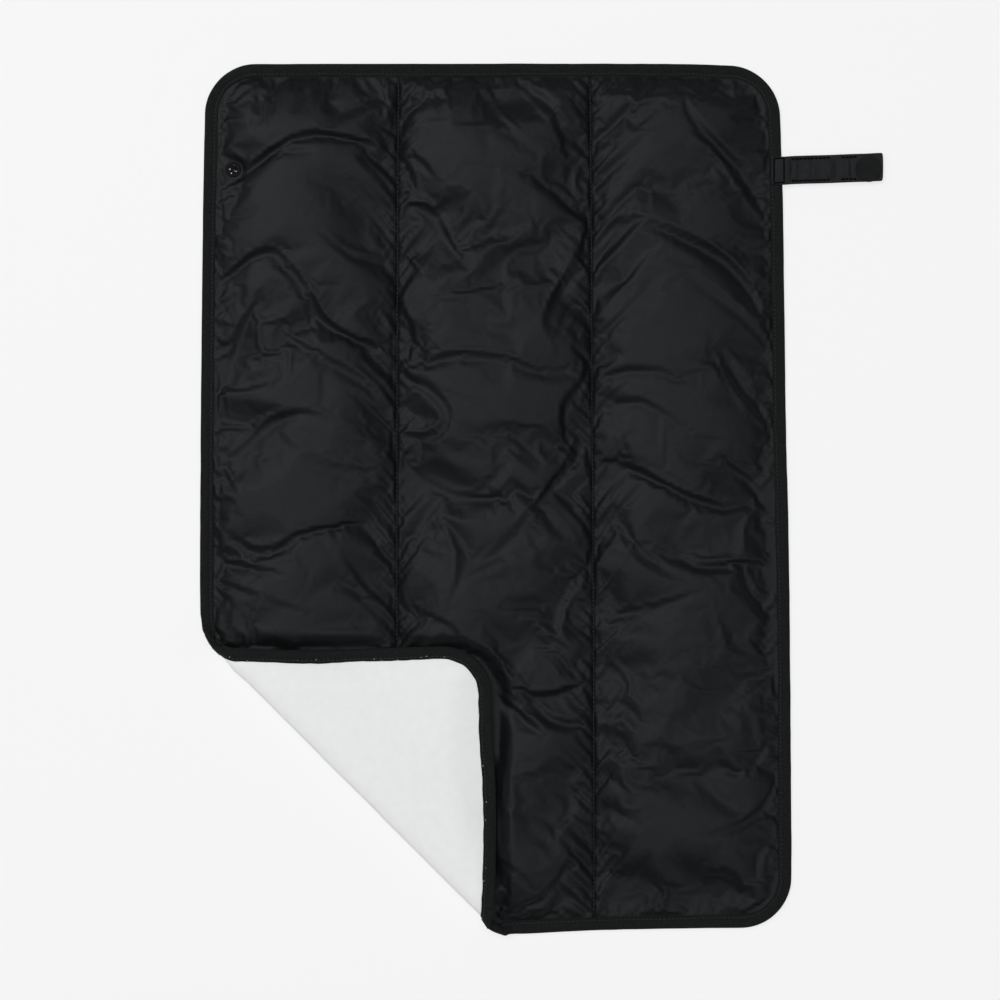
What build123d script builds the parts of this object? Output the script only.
"""Portable changing mat: a quilted, padded sheet with a bound edge, one corner turned over, and a
snap-fastened closing strap. Millimetres, +Z up.

Frame: origin at the centre of the open 450 x 670 mat, on the plane it rests on. +X runs across the
mat towards the edge that carries the strap, +Y along it towards the end nearest the strap, +Z out
of the padded outer side. The corner at -X -Y is turned over on its 45 degree crease.

Stack at any point, from below: lining, wadding, shell. The edge binding is a folded tape round
all three.
"""

import math
import os

from build123d import *

os.makedirs("parts", exist_ok=True)

# ---------------------------------------------------------------- mat dimensions
MAT_W = 450.0  # across, X
MAT_L = 670.0  # along, Y
CORNER_R = 38.0  # plan radius of the corners
SEAM_X = 75.0  # quilting seams at +-SEAM_X make three channels
SEAM_END = 308.0  # the quilting thread runs from -SEAM_END to +SEAM_END along Y

# edge binding, a tape folded over the edge
BIND_W = 10.0  # visible width on each side
BIND_T = 0.8  # thickness of one leg
BIND_EDGE = 1.0  # thickness round the edge
BIND_H = 3.4  # overall height
BIND_FILLET = 0.6

# soft layers
FAB = 0.5  # sheet thickness of shell and lining
GAP = 0.05  # stand-off between neighbouring parts
LIN_Z0 = BIND_T + GAP  # lining under the binding; inside the binding it lies on z = 0
LIN_Z1 = LIN_Z0 + FAB
WAD_Z0 = LIN_Z1 + GAP
LIN_INSET = BIND_W + GAP
SLOT_INSET = BIND_EDGE + GAP  # edge of the layers, inside the binding's fold
EDGE_TOP = BIND_H - BIND_T - GAP  # shell top inside the binding
SEAM_TOP = 3.0  # shell top along a quilting seam
CROWN = 9.5  # shell top along the middle of a channel
FLAT_X = 206.0  # the padding starts to rise inside these lines
FLAT_Y = 316.0
DOME_POINTS = 9  # points across one channel
DOME_SPACING = 0.8  # power below 1 moves the points towards the channel's edges
DOME_FULLNESS = 2.6  # a higher power gives a flatter crown

# top line of the padding at the -Y end: y, z
END_RISE = [
    (-FLAT_Y, EDGE_TOP),
    (-309, 4.6),
    (-298, 7.0),
    (-283, 8.8),
    (-262, CROWN + 0.1),  # just clear of the crown
]

# folds
HALF_X = 0.2  # line of the fold in half, which runs along Y
HALF_GAP = 0.1  # each half stops this far from the line
CREASE_S = 240.0  # crease line: distance from the origin along (-1,-1)/sqrt2
CREASE_GAP = 0.3  # the mat and the corner each stop this far from the crease
CREASE_Z = 9.8  # crease axis height, at the plane where the outer sides meet

# thread
THREAD_W = 0.5
THREAD_T = 0.28
THREAD_LIFT = 0.02  # binding and strap threads above the surface they lie on
QUILT_LIFT = 0.16  # quilting thread above SEAM_TOP
BIND_STITCH_INSET = 8.0

# closing strap: its sections' X ranges, with bare gaps between them
STRAP_Y = 253.0
STRAP_W = 22.0
STRAP_FACE_W = STRAP_W - 0.6
STRAP_BACK_T = 0.6
STRAP_FACE_T = 0.5
ANCHOR_X0, ANCHOR_X1 = 213.0, 224.6
LINK_X0, LINK_X1 = 226.4, 262.6
TIP_X0, TIP_X1 = 264.4, 299.3
STRAP_Z0 = 3.75  # underside of the backing tape
STRAP_Z2 = STRAP_Z0 + STRAP_BACK_T + GAP  # underside of the face
STRAP_Z3 = STRAP_Z2 + STRAP_FACE_T  # top of the face
STITCH_OFF = 8.4  # stitch lines to each side of the strap's middle
STITCH_T = 0.2
STITCH_END = 3.0  # stitches start this far from a section's end
TACK_L, TACK_W = 8.0, 18.0  # outside of the bar tack, X and Y
TACK_LINE = 0.7
TACK_T = 0.25

# snap fastener, strap half
SOCKET_X = 287.8
SOCKET_AT = (SOCKET_X, STRAP_Y)
SOCKET_R = 5.75
SOCKET_BORE_R = 2.45
SOCKET_BORE_H = 2.6
SOCKET_LOW = 0.7
SOCKET_TOP = STRAP_Z0 - GAP
SOCKET_FILLET = 0.7
GROOVE_Z, GROOVE_H, GROOVE_R = 1.25, 0.9, 3.4  # spring's groove in the bore
SPRING_Z = GROOVE_Z + GROOVE_H / 2
SPRING_R = 2.9
SPRING_WIRE_R = 0.33
SPRING_START, SPRING_SWEEP = 20, 320  # degrees
CAP_Z0 = STRAP_Z3 + GAP
CAP_R = 10.0
CAP_T = 1.2
CAP_FILLET = 0.8
POST_R = 1.6  # cap's post, down through the strap
POST_FOOT_Z, POST_FOOT_T, POST_FOOT_R = 2.9, 0.25, 2.2
STRAP_HOLE_R = POST_R + 0.1

# snap fastener, mat half; stud heights are measured from the flange's underside
STUD_AT = (-202.0, STRAP_Y)
STUD_Z0 = EDGE_TOP + GAP
STUD_FLANGE_R, STUD_FLANGE_T, STUD_FLANGE_FILLET = 6.0, 0.75, 0.45
STUD_DISH_R, STUD_DISH_Z = 4.6, 0.4
STUD_NECK_R, STUD_NECK_Z = 2.15, 0.3
STUD_HEAD_R, STUD_HEAD_Z, STUD_HEAD_T = 2.35, 1.2, 1.6
STUD_HEAD_FILLET = 0.5
PIN_R = 1.2  # pin of the post that holds the stud from below
PIN_H = 3.2
STUD_BORE_R = PIN_R + GAP
STUD_BORE_H = 2.2
PIN_HOLE_R = 1.3  # in the shell and the patch
BASE_R, BASE_T = 5.0, 0.35  # base disc of the post
BASE_Z = WAD_Z0 + 0.02
PATCH_R, PATCH_T = 7.0, 0.15
RECESS_R = 7.5  # cut in the padding above the landing
LANDING_R = 8.0  # flat fabric disc under the stud
WAD_RECESS_R = 8.1  # room for the landing in the wadding
WAD_HOLE_R = 7.3  # room for the post and patch in the wadding
CLEAR = 20  # cuts this tall leave the padding


# ---------------------------------------------------------------- helpers
def save(part, name):
    part.label = name
    export_step(part, f"parts/{name}.step")


def level(z):
    """Horizontal sketch plane at height z."""
    return Plane.XY.offset(z)


def outline(inset):
    """Width, length and corner radius of the mat's outline, moved inwards by inset."""
    return MAT_W - 2 * inset, MAT_L - 2 * inset, CORNER_R - inset


# ---------------------------------------------------------------- padding profiles
def dome(x0, z0, x1, z1):
    """Points of a padded channel's top line, from one edge to the other."""
    points = []
    for i in range(DOME_POINTS):
        u = -1 + 2 * i / (DOME_POINTS - 1)
        u = math.copysign(abs(u) ** DOME_SPACING, u)
        base = z0 + (z1 - z0) * (u + 1) / 2
        x = (x0 + x1) / 2 + u * (x1 - x0) / 2
        points.append((x, base + (CROWN - base) * (1 - abs(u) ** DOME_FULLNESS)))
    return points


def across_points(drop):
    """Top line of the padding across the mat, lowered by drop, one list per channel."""
    left = dome(-FLAT_X, EDGE_TOP, -SEAM_X, SEAM_TOP)
    middle = dome(-SEAM_X, SEAM_TOP, SEAM_X, SEAM_TOP)
    right = [(-x, z) for x, z in reversed(left)]
    return [[(x, z - drop) for x, z in span] for span in (left, middle, right)]


def pad_volume(z_low, drop, inset):
    """Everything under the padding's top lowered by drop, down to z_low, inside the inset outline."""
    half_w, half_l = MAT_W / 2 - inset, MAT_L / 2 - inset
    top = EDGE_TOP - drop
    spans = across_points(drop)
    rise = [(y, z - drop) for y, z in END_RISE]
    fall = [(-y, z) for y, z in reversed(rise)]
    end_y, end_low = half_l + 1, z_low - 1
    with BuildPart() as volume:
        # channels, drawn across the mat
        with BuildSketch(Plane.XZ):
            with BuildLine():
                Line((-half_w, top), spans[0][0])
                for span in spans:
                    Spline(*span)
                Line(spans[-1][-1], (half_w, top))
                Polyline((half_w, top), (half_w, z_low), (-half_w, z_low), (-half_w, top))
            make_face()
        extrude(amount=half_l + 1, both=True)
        # slopes at the two ends, drawn along the mat
        with BuildSketch(Plane.YZ):
            with BuildLine():
                Line((-end_y, top), rise[0])
                Spline(*rise)
                Line(rise[-1], fall[0])
                Spline(*fall)
                Line(fall[-1], (end_y, top))
                Polyline((end_y, top), (end_y, end_low), (-end_y, end_low), (-end_y, top))
            make_face()
        extrude(amount=half_w + 2, both=True, mode=Mode.INTERSECT)
        # rounded plan outline
        with BuildSketch(level(z_low - 1)):
            RectangleRounded(*outline(inset))
        extrude(amount=CROWN + 6, mode=Mode.INTERSECT)
    return volume.part


# ---------------------------------------------------------------- full layers, before the folds
INNER_OVERSHOOT = 3  # the volume that hollows the shell passes its underside and edge

with BuildPart() as shell:
    add(pad_volume(WAD_Z0, 0.0, SLOT_INSET))
    # flat landing for the snap stud
    with BuildSketch(level(EDGE_TOP)), Locations(STUD_AT):
        Circle(RECESS_R)
    extrude(amount=CLEAR, mode=Mode.SUBTRACT)
    # hollow out to one fabric thickness
    add(
        pad_volume(WAD_Z0 - INNER_OVERSHOOT, FAB, SLOT_INSET - INNER_OVERSHOOT),
        mode=Mode.SUBTRACT,
    )
    with BuildSketch(level(EDGE_TOP - FAB)), Locations(STUD_AT):
        Circle(LANDING_R)
        Circle(PIN_HOLE_R, mode=Mode.SUBTRACT)
    extrude(amount=FAB)
    with Locations((*STUD_AT, EDGE_TOP)):
        Cylinder(PIN_HOLE_R, 6, mode=Mode.SUBTRACT)

with BuildPart() as wadding:
    add(pad_volume(WAD_Z0, FAB + GAP, SLOT_INSET))
    # lower part, filling the lining's tray inside the binding
    with BuildSketch(level(FAB + GAP)):
        RectangleRounded(*outline(LIN_INSET + FAB + GAP))
    extrude(amount=WAD_Z0 - FAB)
    # recess under the shell's landing, and a hole for the snap post
    with BuildSketch(level(EDGE_TOP - FAB - GAP)), Locations(STUD_AT):
        Circle(WAD_RECESS_R)
    extrude(amount=CLEAR, mode=Mode.SUBTRACT)
    with BuildSketch(Plane.XY), Locations(STUD_AT):
        Circle(WAD_HOLE_R)
    extrude(amount=CLEAR, mode=Mode.SUBTRACT)

# a rim over the binding's lower leg, stepping down to a tray inside the binding
with BuildPart() as lining:
    with BuildSketch(level(LIN_Z0)):
        RectangleRounded(*outline(SLOT_INSET))
    extrude(amount=FAB)
    with BuildSketch(Plane.XY):
        RectangleRounded(*outline(LIN_INSET))
    extrude(amount=LIN_Z1)
    with BuildSketch(level(FAB)):
        RectangleRounded(*outline(LIN_INSET + FAB))
    extrude(amount=LIN_Z1, mode=Mode.SUBTRACT)


def is_outer_edge(edge):
    """True for the binding's top and bottom edges that lie on the mat's outline."""
    middle = edge.center()
    x, y, z = abs(middle.X), abs(middle.Y), middle.Z
    at_face = abs(z - BIND_H) < 1e-3 or abs(z) < 1e-3
    on_side = abs(x - MAT_W / 2) < 0.01 or abs(y - MAT_L / 2) < 0.01
    in_corner = x > MAT_W / 2 - CORNER_R and y > MAT_L / 2 - CORNER_R
    # the inner corner arcs are shorter than 50
    return at_face and (on_side or (in_corner and edge.length > 50))


with BuildPart() as binding:
    with BuildSketch(Plane.XY):
        RectangleRounded(*outline(0))
    extrude(amount=BIND_H)
    with BuildSketch(Plane.XY):
        RectangleRounded(*outline(BIND_W))
    extrude(amount=BIND_H, mode=Mode.SUBTRACT)
    # slot between the legs
    with BuildSketch(level(BIND_T)):
        RectangleRounded(*outline(BIND_EDGE))
    extrude(amount=BIND_H - 2 * BIND_T, mode=Mode.SUBTRACT)
    fillet(binding.edges().filter_by(is_outer_edge), BIND_FILLET)

with BuildPart() as binding_stitch:
    with BuildSketch(level(BIND_H + THREAD_LIFT)):
        RectangleRounded(*outline(BIND_STITCH_INSET - THREAD_W / 2))
        RectangleRounded(*outline(BIND_STITCH_INSET + THREAD_W / 2), mode=Mode.SUBTRACT)
    extrude(amount=THREAD_T)

# ---------------------------------------------------------------- dividing at the folds
crease_normal = Vector(-1, -1, 0).normalized()
crease_axis = Axis(
    crease_normal * CREASE_S + Vector(0, 0, CREASE_Z),
    Vector(1, -1, 0).normalized(),
)
main_plane = Plane(origin=crease_normal * (CREASE_S - CREASE_GAP), z_dir=crease_normal)
corner_plane = Plane(origin=crease_normal * (CREASE_S + CREASE_GAP), z_dir=crease_normal)
left_plane = Plane(origin=(HALF_X - HALF_GAP, 0, 0), z_dir=(1, 0, 0))
right_plane = Plane(origin=(HALF_X + HALF_GAP, 0, 0), z_dir=(1, 0, 0))

# each cut is a plane and the side of it that stays
LEFT_CUT = (left_plane, Keep.BOTTOM)
RIGHT_CUT = (right_plane, Keep.TOP)
MAIN_CUT = (main_plane, Keep.BOTTOM)
CORNER_CUT = (corner_plane, Keep.TOP)


def cut(layer, *cuts):
    """The part of a layer left by the cuts, made in order."""
    with BuildPart() as piece:
        add(layer)
        for plane, side in cuts:
            split(bisect_by=plane, keep=side)
    return piece.part


def turned_corner(layer):
    """The layer's corner beyond the crease, turned over onto the mat."""
    return cut(layer, CORNER_CUT).rotate(crease_axis, 180)


for name, layer in (
    ("shell", shell.part),
    ("wadding", wadding.part),
    ("lining", lining.part),
    ("binding", binding.part),
    ("binding_stitch", binding_stitch.part),
):
    save(cut(layer, LEFT_CUT, MAIN_CUT), f"{name}_left")
    save(cut(layer, RIGHT_CUT), f"{name}_right")
    save(turned_corner(layer), f"{name}_corner")


# ---------------------------------------------------------------- quilting thread
def quilt_line(x):
    """Thread along one seam."""
    with BuildPart() as line:
        with BuildSketch(level(SEAM_TOP + QUILT_LIFT)), Locations((x, 0)):
            Rectangle(THREAD_W, 2 * SEAM_END)
        extrude(amount=THREAD_T)
    return line.part


save(quilt_line(SEAM_X), "quilt_thread_right")
quilt_line_left = quilt_line(-SEAM_X)
save(cut(quilt_line_left, MAIN_CUT), "quilt_thread_left")
save(turned_corner(quilt_line_left), "quilt_thread_corner")


# ---------------------------------------------------------------- closing strap
def strip(x0, x1, z0, thickness, width, hole_x=None):
    """Flat length of strap, with a hole for the cap's post if hole_x is given."""
    with BuildPart() as tape:
        with BuildSketch(level(z0)):
            with Locations(((x0 + x1) / 2, STRAP_Y)):
                Rectangle(x1 - x0, width)
            if hole_x is not None:
                with Locations((hole_x, STRAP_Y)):
                    Circle(STRAP_HOLE_R, mode=Mode.SUBTRACT)
        extrude(amount=thickness)
    return tape.part


def edge_stitches(x0, x1):
    """A line of thread along each long edge of the strap."""
    middle = (x0 + x1) / 2
    with BuildPart() as threads:
        with BuildSketch(level(STRAP_Z3 + THREAD_LIFT)):
            with Locations((middle, STRAP_Y + STITCH_OFF), (middle, STRAP_Y - STITCH_OFF)):
                Rectangle(x1 - x0, THREAD_W)
        extrude(amount=STITCH_T)
    return threads.part


# section, tape from and to, face from and to, hole
for section, x0, x1, face_x0, face_x1, hole_x in (
    ("anchor", ANCHOR_X0, ANCHOR_X1, ANCHOR_X0 - 0.6, ANCHOR_X1, None),
    ("link", LINK_X0, LINK_X1, LINK_X0, LINK_X1, None),
    ("tip", TIP_X0, TIP_X1, TIP_X0, TIP_X1 - 0.2, SOCKET_X),
):
    tape = strip(x0, x1, STRAP_Z0, STRAP_BACK_T, STRAP_W, hole_x)
    save(tape, f"strap_{section}_tape")
    face = strip(face_x0, face_x1, STRAP_Z2, STRAP_FACE_T, STRAP_FACE_W, hole_x)
    save(face, f"strap_{section}_face")

save(edge_stitches(LINK_X0 + STITCH_END, LINK_X1 - STITCH_END), "strap_link_stitch")
# the tip's stitches stop just short of the round cap
save(edge_stitches(TIP_X0 + STITCH_END, SOCKET_X - CAP_R + 3.5), "strap_tip_stitch")

with BuildPart() as bar_tack:
    with BuildSketch(level(STRAP_Z3 + THREAD_LIFT)):
        with Locations(((ANCHOR_X0 + ANCHOR_X1) / 2, STRAP_Y)):
            Rectangle(TACK_L, TACK_W)
            Rectangle(TACK_L - 2 * TACK_LINE, TACK_W - 2 * TACK_LINE, mode=Mode.SUBTRACT)
    extrude(amount=TACK_T)
save(bar_tack.part, "strap_bar_tack")

# ---------------------------------------------------------------- snap fastener on the strap
# cap above the strap, with a post and foot below it
with BuildPart() as snap_cap:
    with BuildSketch(level(CAP_Z0)), Locations(SOCKET_AT):
        Circle(CAP_R)
    extrude(amount=CAP_T)
    fillet(snap_cap.edges().group_by(Axis.Z)[-1], CAP_FILLET)
    with BuildSketch(level(CAP_Z0)), Locations(SOCKET_AT):
        Circle(POST_R)
    extrude(amount=-(CAP_Z0 - POST_FOOT_Z))
    with BuildSketch(level(POST_FOOT_Z)), Locations(SOCKET_AT):
        Circle(POST_FOOT_R)
    extrude(amount=POST_FOOT_T)
save(snap_cap.part, "snap_cap")

with BuildPart() as snap_socket:
    with BuildSketch(level(SOCKET_LOW)), Locations(SOCKET_AT):
        Circle(SOCKET_R)
    extrude(amount=SOCKET_TOP - SOCKET_LOW)
    fillet(snap_socket.edges().group_by(Axis.Z)[0], SOCKET_FILLET)
    # bore, spring groove and post hole
    with BuildSketch(level(SOCKET_LOW - 0.1)), Locations(SOCKET_AT):
        Circle(SOCKET_BORE_R)
    extrude(amount=SOCKET_BORE_H, mode=Mode.SUBTRACT)
    with BuildSketch(level(GROOVE_Z)), Locations(SOCKET_AT):
        Circle(GROOVE_R)
    extrude(amount=GROOVE_H, mode=Mode.SUBTRACT)
    with BuildSketch(Plane.XY), Locations(SOCKET_AT):
        Circle(POST_R + GAP)
    extrude(amount=6, mode=Mode.SUBTRACT)
save(snap_socket.part, "snap_socket")

# split ring spring that grips the stud's head
with BuildPart() as snap_spring:
    with BuildLine(level(SPRING_Z)) as ring:
        CenterArc(SOCKET_AT, SPRING_R, SPRING_START, SPRING_SWEEP)
    with BuildSketch(Plane(origin=ring.line @ 0, z_dir=ring.line % 0)):
        Circle(SPRING_WIRE_R)
    sweep()
save(snap_spring.part, "snap_spring")

# ---------------------------------------------------------------- snap fastener on the mat
with BuildPart() as snap_stud:
    with BuildSketch(level(STUD_Z0)), Locations(STUD_AT):
        Circle(STUD_FLANGE_R)
    extrude(amount=STUD_FLANGE_T)
    fillet(snap_stud.edges().group_by(Axis.Z)[-1], STUD_FLANGE_FILLET)
    # dished centre inside a raised rim
    with BuildSketch(level(STUD_Z0 + STUD_DISH_Z)), Locations(STUD_AT):
        Circle(STUD_DISH_R)
    extrude(amount=1, mode=Mode.SUBTRACT)
    # neck and head
    with BuildSketch(level(STUD_Z0 + STUD_NECK_Z)), Locations(STUD_AT):
        Circle(STUD_NECK_R)
    extrude(amount=STUD_HEAD_Z - STUD_NECK_Z)
    with BuildSketch(level(STUD_Z0 + STUD_HEAD_Z)), Locations(STUD_AT):
        Circle(STUD_HEAD_R)
    extrude(amount=STUD_HEAD_T)
    fillet(snap_stud.edges().group_by(Axis.Z)[-1], STUD_HEAD_FILLET)
    # blind bore for the pin
    with BuildSketch(level(STUD_Z0)), Locations(STUD_AT):
        Circle(STUD_BORE_R)
    extrude(amount=STUD_BORE_H, mode=Mode.SUBTRACT)
save(snap_stud.part, "snap_stud")

with BuildPart() as snap_post:
    with BuildSketch(level(BASE_Z)), Locations(STUD_AT):
        Circle(BASE_R)
    extrude(amount=BASE_T)
    with BuildSketch(level(WAD_Z0 + 0.2)), Locations(STUD_AT):  # starts inside the base
        Circle(PIN_R)
    extrude(amount=PIN_H)
save(snap_post.part, "snap_post")

# washer round the pin, above the post's base
with BuildPart() as snap_patch:
    with BuildSketch(level(BASE_Z + BASE_T + GAP)), Locations(STUD_AT):
        Circle(PATCH_R)
        Circle(PIN_HOLE_R, mode=Mode.SUBTRACT)
    extrude(amount=PATCH_T)
save(snap_patch.part, "snap_patch")
